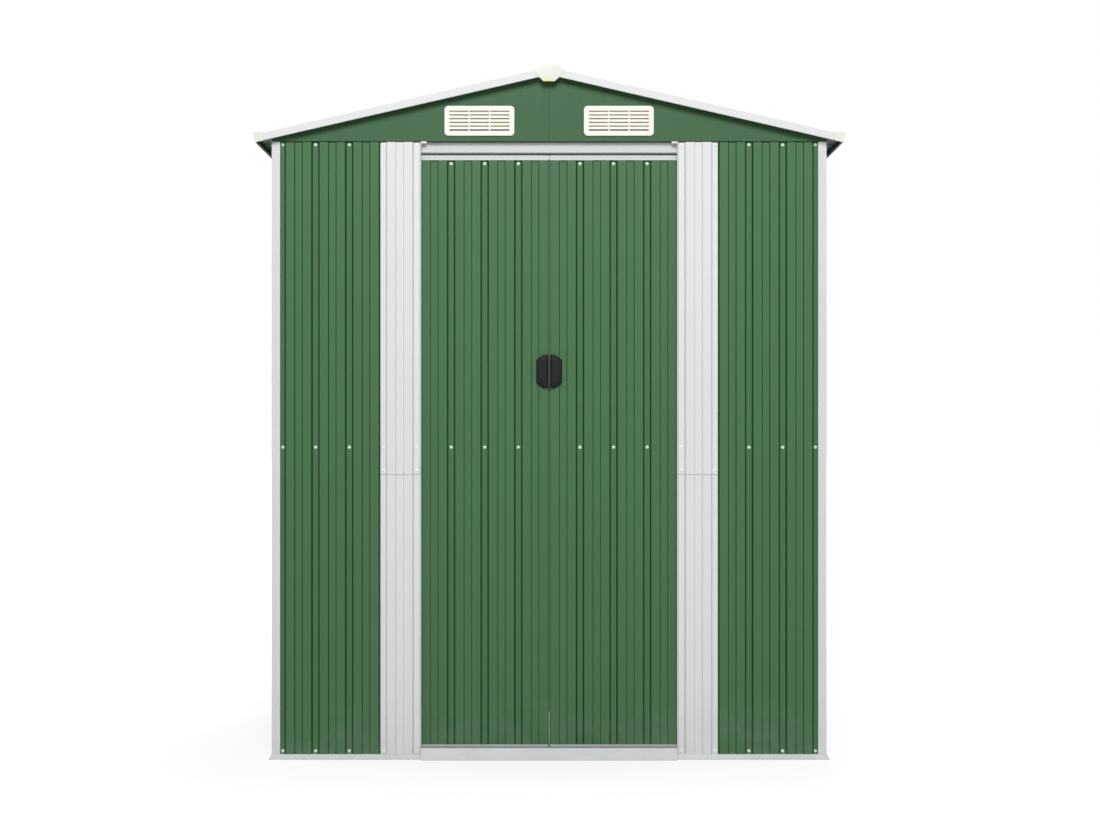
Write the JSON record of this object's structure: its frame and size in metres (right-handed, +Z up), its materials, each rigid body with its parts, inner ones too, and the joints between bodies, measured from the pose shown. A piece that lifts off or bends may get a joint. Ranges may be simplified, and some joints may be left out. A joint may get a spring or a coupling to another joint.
{
  "type": "metal storage shed",
  "caption": "Small gabled garden shed of ribbed steel sheet, hollow, with two doors that slide apart behind the front walls.",
  "frame": {"origin": "on the ground, in the middle of the plan of the roof", "axes": "+X to the right seen from the front, +Y from the front to the back, +Z up"},
  "size_m": [1.92, 1.52, 2.2594],
  "materials": {
    "white_steel": "satin white paint on thin folded steel",
    "green_steel": "satin green paint on thin ribbed steel",
    "galvanised_steel": "matt galvanised steel",
    "cream_plastic": "moulded off-white plastic",
    "black_plastic": "moulded charcoal plastic"
  },
  "bodies": {
    "shed": {"base_rail_front": "white_steel", "base_rail_back": "white_steel", "base_rail_left": "white_steel", "base_rail_right": "white_steel", "threshold": "white_steel", "door_track_bottom": "galvanised_steel", "door_track_top": "galvanised_steel", "door_header": "white_steel", "corner_post_front_left": "white_steel", "corner_post_front_right": "white_steel", "corner_posts_back": "white_steel", "front_wall_left": "green_steel", "front_wall_right": "green_steel", "door_strip_left_lower": "white_steel", "door_strip_left_upper": "white_steel", "door_strip_right_lower": "white_steel", "door_strip_right_upper": "white_steel", "side_wall_left": "green_steel", "side_wall_right": "green_steel", "back_wall": "green_steel", "mid_rails": "galvanised_steel", "top_rails": "galvanised_steel", "gable_front_left": "green_steel", "gable_front_right": "green_steel", "gable_back": "green_steel", "vents_front": "cream_plastic", "vents_back": "cream_plastic", "roof_beams": "galvanised_steel", "roof_sheet_left": "green_steel", "roof_sheet_right": "green_steel", "ridge_cap": "white_steel", "ridge_end_cap_front": "cream_plastic", "ridge_end_cap_back": "cream_plastic", "gable_trim_front_left": "white_steel", "gable_trim_front_right": "white_steel", "gable_trims_back": "white_steel", "eave_trim_left": "white_steel", "eave_trim_right": "white_steel", "corner_caps": "cream_plastic"},
    "door_left": {"door_left_sheet": "green_steel", "door_left_channels": "white_steel", "door_left_handle": "black_plastic"},
    "door_right": {"door_right_sheet": "green_steel", "door_right_channels": "white_steel", "door_right_handle": "black_plastic"}
  },
  "joints": [
    {"name": "door_left_slide", "type": "slide", "parent": "shed", "child": "door_left", "axis": [-1, 0, 0], "range_m": [0, 0.36]},
    {"name": "door_right_slide", "type": "slide", "parent": "shed", "child": "door_right", "axis": [1, 0, 0], "range_m": [0, 0.36]}
  ]
}
